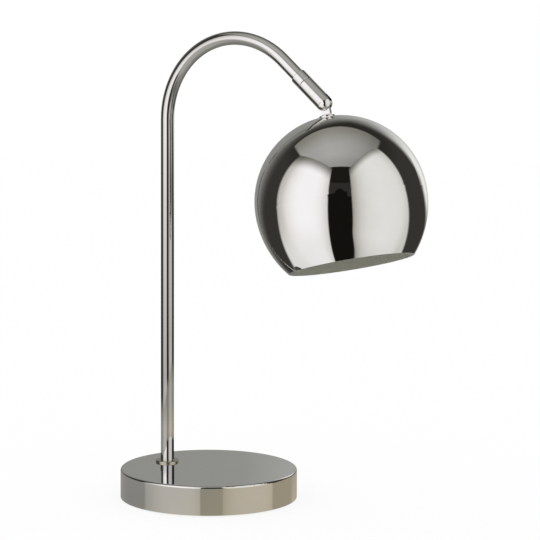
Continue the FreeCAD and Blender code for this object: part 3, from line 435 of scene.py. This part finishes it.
def build_painted_reflection_film():
    """A thin film round the pole and its bend that only reflections see.

    Up the pole it dims what the tube reflects, a painted shade, for the far ends of the table that
    the pole shows and the ball doesn't.
    Under the bend it is a painted grey reflection, for the base and the near table that the bend
    shows.
    """
    mesh = scrim_mesh()
    low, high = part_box("pole_foot_ring")
    stage_object("scrim", mesh, ((low[0] + high[0]) / 2, (low[1] + high[1]) / 2, 0.0),
                 ("camera", "diffuse", "shadow", "transmission"))
    material, nodes = blank_material("scrim")
    side, height, bend = tube_side(nodes)

    # Painted shade in the pole's reflections, on its left and on its right. Each stop is a height
    # and a tint.
    def painted_dimming_up_the_pole(stops):
        return nodes.ramp(nodes.math("DIVIDE", height, BEND_START),
                          [(at / BEND_START, tint) for at, tint in stops])

    left = painted_dimming_up_the_pole([
        (0.034, (0.83, 0.83, 0.84)),
        (0.040, (1.0, 1.0, 1.0)),
        (0.060, (1.0, 1.0, 1.0)),
        (0.088, (0.57, 0.565, 0.55)),
        (0.105, (0.47, 0.465, 0.45)),
        (0.220, (0.68, 0.68, 0.665)),
        (BEND_START, (0.93, 0.93, 0.925)),
    ])
    right = painted_dimming_up_the_pole([
        (0.048, (0.80, 0.80, 0.82)),
        (0.056, (1.0, 1.0, 1.0)),
        (0.099, (1.0, 1.0, 1.0)),
        (0.119, (0.64, 0.635, 0.60)),
        (0.144, (0.57, 0.565, 0.53)),
        (0.181, (0.62, 0.615, 0.59)),
        (0.305, (0.64, 0.63, 0.61)),
        (BEND_START, (0.80, 0.79, 0.78)),
    ])
    tint = nodes.mix(nodes.step(side, -0.32, 0.48), left, right)
    tint = nodes.mix(nodes.step(bend, 15.0, 45.0), tint, WHITE)

    # Painted grey reflection under the bend, past an edge that moves inward over its top
    edge = nodes.math("MULTIPLY_ADD", nodes.step(bend, 45.0, 110.0), 0.50, -0.09)
    past = nodes.math("SUBTRACT", side, edge)
    painted_reflection_under_bend = nodes.both(nodes.step(past, -0.09, 0.13), nodes.step(bend, 2.0, 26.0),
                       nodes.step(bend, 128.0, 108.0))
    grey = nodes.ramp(nodes.math("DIVIDE", bend, SCRIM_END), [
        (0.14, (0.215, 0.214, 0.200)),
        (0.30, (0.310, 0.308, 0.284)),
        (0.52, (0.310, 0.308, 0.284)),
        (0.72, (0.240, 0.240, 0.222)),
    ])
    grey = nodes.vector("SCALE", grey, nodes.math(
        "MULTIPLY_ADD", nodes.step(past, 0.35, 1.1), -0.42, 1.0))

    # Painted dark reflected lines: the gap, which carries on a little way round the bend with a
    # finer line beside it, and the edges of the pole's foot
    gap = nodes.both(nodes.step(side, -0.14, -0.02), nodes.step(side, 0.22, 0.10))
    line = nodes.both(gap, nodes.step(height, 0.088, 0.107), nodes.step(bend, 40.0, 32.0))
    right_foot = nodes.both(nodes.math("MAXIMUM", gap, nodes.step(side, 0.72, 0.84)),
                            nodes.step(height, 0.052, 0.046))
    left_foot = nodes.both(nodes.step(side, -0.74, -0.86), nodes.step(height, 0.038, 0.034))
    second_middle = nodes.math("MULTIPLY_ADD", nodes.step(bend, 2.0, 22.0), -0.42, 0.86)
    second = nodes.math("ABSOLUTE", nodes.math("SUBTRACT", side, second_middle))
    second = nodes.both(nodes.step(second, 0.14, 0.03), nodes.step(bend, 2.0, 8.0),
                        nodes.step(bend, 34.0, 24.0), 0.7)
    for other in (second, right_foot, left_foot):
        line = nodes.math("MAXIMUM", line, other)
    grey = nodes.mix(line, grey, colour(0.012, 0.011, 0.010))

    # The tube's reflections show through the film, dimmed by the painted shade, and the painted
    # grey and dark lines cover them
    clear = nodes.add("ShaderNodeBsdfTransparent")
    nodes.feed(clear.inputs["Color"], tint)
    cover = nodes.math("MAXIMUM", nodes.math("MULTIPLY", painted_reflection_under_bend, PAINTED_REFLECTION_COVER),
                       nodes.math("MULTIPLY", line, PAINTED_DARK_LINE_COVER))
    nodes.finish(nodes.blend(cover, clear.outputs[0], nodes.glow(grey)))
    material.cycles.emission_sampling = "NONE"
    mesh.materials.append(material)


def build_world():
    """Plain light for every surface, and white for whatever looks straight at it."""
    world = bpy.data.worlds.new("plain_light")
    bpy.context.scene.world = world
    world.use_nodes = True
    world.node_tree.nodes.clear()
    nodes = Nodes(world.node_tree)
    rays = nodes.add("ShaderNodeLightPath")
    seen = nodes.math("ADD", rays.outputs["Is Camera Ray"], rays.outputs["Is Glossy Ray"])
    seen = nodes.math("ADD", seen, rays.outputs["Is Transmission Ray"], clamp=True)
    background = nodes.add("ShaderNodeBackground")
    nodes.feed(background.inputs["Color"],
               nodes.mix(seen, colour(0.92, 0.92, 0.92), WHITE))
    output = nodes.add("ShaderNodeOutputWorld")
    nodes.feed(output.inputs["Surface"], background.outputs[0])


# Materials

def new_material(name):
    """A material with one Principled shader, its nodes and the shader."""
    material, nodes = blank_material(name)
    shader = nodes.add("ShaderNodeBsdfPrincipled")
    nodes.finish(shader.outputs[0])
    return material, nodes, shader


def noise(nodes, place, scale):
    """A soft noise, with its scale in waves to the metre."""
    node = nodes.add("ShaderNodeTexNoise")
    nodes.feed(node.inputs["Vector"], place)
    nodes.feed(node.inputs["Scale"], scale)
    nodes.feed(node.inputs["Detail"], 3.0)
    return node.outputs["Fac"]


def between(nodes, factor, low, high):
    """From low to high over the middle part of a noise."""
    node = nodes.add("ShaderNodeMapRange")
    nodes.feed(node.inputs["Value"], factor)
    for socket, value in zip(list(node.inputs)[1:5], (0.3, 0.7, low, high)):
        nodes.feed(socket, value)
    return node.outputs[0]


def clouded(nodes, shader, light, dark, rough_low, rough_high, scale, finer):
    """A faint cloud in the tone of a surface, and a finer one in its gloss."""
    place = nodes.object_place()
    cloud = between(nodes, noise(nodes, place, scale), 0.0, 1.0)
    nodes.feed(shader.inputs["Base Color"], nodes.mix(cloud, colour(*dark), colour(*light)))
    nodes.feed(shader.inputs["Roughness"],
               between(nodes, noise(nodes, place, scale * finer), rough_low, rough_high))
    return place


def metal(name, light, dark, rough_low, rough_high, scale=60.0):
    """Polished, plated or cast metal."""
    material, nodes, shader = new_material(name)
    clouded(nodes, shader, light, dark, rough_low, rough_high, scale, 3.0)
    nodes.feed(shader.inputs["Metallic"], 1.0)
    return material


def plastic(name, light, dark, rough_low, rough_high, scale=120.0, height=0.00002):
    """Plastic, paint, foam or ceramic, with a fine grain of a height in metres."""
    material, nodes, shader = new_material(name)
    place = clouded(nodes, shader, light, dark, rough_low, rough_high, scale, 2.0)
    bump = nodes.add("ShaderNodeBump")
    nodes.feed(bump.inputs["Height"], noise(nodes, place, scale * 8.0))
    nodes.feed(bump.inputs["Distance"], height)
    nodes.feed(bump.inputs["Strength"], 1.0)
    nodes.feed(shader.inputs["Normal"], bump.outputs[0])
    return material


def opal_glass():
    """The bulb's glass: white and softly lit through."""
    material, nodes, shader = new_material("opal_glass")
    cloud = noise(nodes, nodes.object_place(), 40.0)
    nodes.feed(shader.inputs["Base Color"],
               nodes.mix(cloud, colour(0.86, 0.86, 0.84), colour(0.92, 0.92, 0.90)))
    nodes.feed(shader.inputs["Roughness"], between(nodes, cloud, 0.08, 0.14))
    nodes.feed(shader.inputs["Subsurface Weight"], 0.3)
    nodes.feed(shader.inputs["Subsurface Radius"], (0.004, 0.004, 0.004))
    return material


chrome = metal("chrome_polish", (0.885, 0.880, 0.865), (0.865, 0.860, 0.845), 0.015, 0.035)
# The foot ring's chrome made darker, warmer and rougher: a painted warm reflection of the table it
# stands over
chrome_painted_warm_reflection = metal("chrome_painted_warm_reflection", (0.60, 0.565, 0.475), (0.56, 0.525, 0.435), 0.24, 0.32)
inside = plastic("shade_inside", (0.62, 0.62, 0.545), (0.60, 0.60, 0.525), 0.55, 0.65, 30.0)
zinc = metal("zinc_plate", (0.62, 0.61, 0.58), (0.52, 0.51, 0.49), 0.28, 0.42, scale=200.0)
cast = metal("cast_iron", (0.20, 0.20, 0.21), (0.12, 0.12, 0.125), 0.5, 0.7, scale=150.0)
brass = metal("brass", (0.80, 0.62, 0.30), (0.70, 0.53, 0.24), 0.15, 0.28, scale=200.0)
cap_metal = metal("bulb_cap_metal", (0.80, 0.80, 0.79), (0.70, 0.70, 0.69), 0.18, 0.30)
foam = plastic("pad_foam", (0.045, 0.045, 0.045), (0.025, 0.025, 0.025), 0.85, 0.95, 300.0, 0.0001)
black_plastic = plastic("black_plastic", (0.05, 0.05, 0.05), (0.035, 0.035, 0.035), 0.25, 0.38)
white_plastic = plastic("white_plastic", (0.84, 0.84, 0.80), (0.78, 0.78, 0.75), 0.35, 0.5)
ceramic = plastic("ceramic", (0.86, 0.85, 0.81), (0.80, 0.79, 0.75), 0.15, 0.25)
lead_skin = plastic("lead_skin", (0.06, 0.06, 0.06), (0.04, 0.04, 0.04), 0.4, 0.5)
earth_skin = plastic("earth_skin", (0.36, 0.55, 0.10), (0.30, 0.46, 0.08), 0.35, 0.45)
opal = opal_glass()

LOOKS = {
    "chrome": chrome,
    "iron": cast,
    "steel": zinc,
    "pad": foam,
    "bush": black_plastic,
    "block": white_plastic,
    "brass": brass,
    "earth_wire": earth_skin,
    "lead": lead_skin,
    "washer": white_plastic,
    "holder": black_plastic,
    "core": ceramic,
    "bulb_cap": cap_metal,
    "opal": opal,
}


def dress(node, material):
    """Gives one material to a CAD node."""
    mesh = frame["nodes"][node].data
    mesh.materials.clear()
    mesh.materials.append(material)


for entry in frame["record"]["subparts"]:
    dress(entry["node"], LOOKS[entry["material_slot"]])
# The chrome foot ring gets the painted warm reflection
dress("pole_foot_ring", chrome_painted_warm_reflection)


# The inside of the shade is painted: the faces whose normals point to its middle
shell = frame["nodes"]["shade_shell"].data
shell.materials.append(inside)
for face in shell.polygons:
    inward = (SHADE_MIDDLE - face.center).normalized()
    if face.normal.dot(inward) > INWARD:
        face.material_index = 1


# Floor, which reflections don't see, and the bench top that only reflections see

def flat_disc(name, radius, middle, material, hidden_from):
    """A disc of one face."""
    mesh = bpy.data.meshes.new(name)
    turns = [2 * math.pi * n / DISC_SIDES for n in range(DISC_SIDES)]
    ring = [(middle[0] + radius * math.cos(turn), middle[1] + radius * math.sin(turn), middle[2])
            for turn in turns]
    mesh.from_pydata(ring, [], [list(range(DISC_SIDES))])
    mesh.materials.append(material)
    stage_object(name, mesh, (0.0, 0.0, 0.0), hidden_from)


def floor_material():
    """White, and dull enough to keep the object's shadow."""
    material, nodes = blank_material("floor")
    shader = nodes.add("ShaderNodeBsdfPrincipled")
    nodes.feed(shader.inputs["Base Color"], colour(0.96, 0.96, 0.96))
    nodes.feed(shader.inputs["Roughness"], 0.9)
    nodes.feed(shader.inputs["Specular IOR Level"], 0.0)
    nodes.finish(nodes.blend(FLOOR_GLOW, shader.outputs[0], nodes.glow(colour(1.02, 1.02, 1.02))))
    return material


def bench_material():
    """A table top that looks warm grey and faintly glossy from low down, and clear from above."""
    material, nodes = blank_material("bench")
    weight = nodes.add("ShaderNodeLayerWeight")
    nodes.feed(weight.inputs["Blend"], 0.5)
    grazing = nodes.step(weight.outputs["Facing"], 0.674, 0.758)
    place = nodes.object_place()
    right = nodes.split(nodes.vector("NORMALIZE", nodes.facing_camera(place)))[0]
    side = nodes.math("MULTIPLY_ADD", right, 0.5, 0.5)
    measure = nodes.add("ShaderNodeVectorMath", operation="LENGTH")
    nodes.feed(measure.inputs[0], nodes.vector("SUBTRACT", place, BENCH_SHIFT))
    distance = measure.outputs["Value"]
    shown = nodes.math("MULTIPLY", grazing, nodes.step(distance, 0.60, 0.49))
    near = nodes.ramp(side, [
        (0.0, (0.235, 0.235, 0.232)),
        (0.1, (0.250, 0.243, 0.220)),
        (0.5, (0.300, 0.277, 0.215)),
        (0.9, (0.340, 0.295, 0.222)),
    ])
    far = nodes.ramp(side, [
        (0.1, (0.264, 0.264, 0.248)),
        (0.9, (0.222, 0.226, 0.196)),
    ])
    gloss = nodes.add("ShaderNodeBsdfGlossy")
    nodes.feed(gloss.inputs["Color"], colour(0.225, 0.215, 0.200))
    nodes.feed(gloss.inputs["Roughness"], 0.05)
    added = nodes.add("ShaderNodeAddShader")
    nodes.feed(added.inputs[0], nodes.glow(nodes.mix(nodes.step(distance, 0.18, 0.34), near, far)))
    nodes.feed(added.inputs[1], gloss.outputs[0])
    clear = nodes.add("ShaderNodeBsdfTransparent")
    nodes.finish(nodes.blend(shown, clear.outputs[0], added.outputs[0]))
    return material


flat_disc("floor", FLOOR_RADIUS, (0.0, 0.0, FLOOR_LEVEL), floor_material(), ("glossy",))
flat_disc("bench", BENCH_RADIUS, (BENCH_SHIFT[0], BENCH_SHIFT[1], BENCH_LEVEL), bench_material(),
          ("camera", "diffuse", "transmission", "shadow"))
build_tent()
build_painted_reflection_film()
build_world()


# Camera

def build_camera():
    """The camera fitted to the photo."""
    data = bpy.data.cameras.new("camera")
    data.sensor_width = SENSOR_WIDTH
    data.lens = SENSOR_WIDTH * FOCAL_PIXELS / PHOTO_PIXELS
    data.clip_start = 0.1
    data.clip_end = 20.0
    camera = bpy.data.objects.new("camera", data)
    bpy.context.scene.collection.objects.link(camera)
    camera.matrix_world = Matrix.Translation(CAMERA_PLACE) @ Matrix(CAMERA_AXES).to_4x4()
    bpy.context.scene.camera = camera


build_camera()

bpy.context.scene.view_settings.view_transform = "Standard"
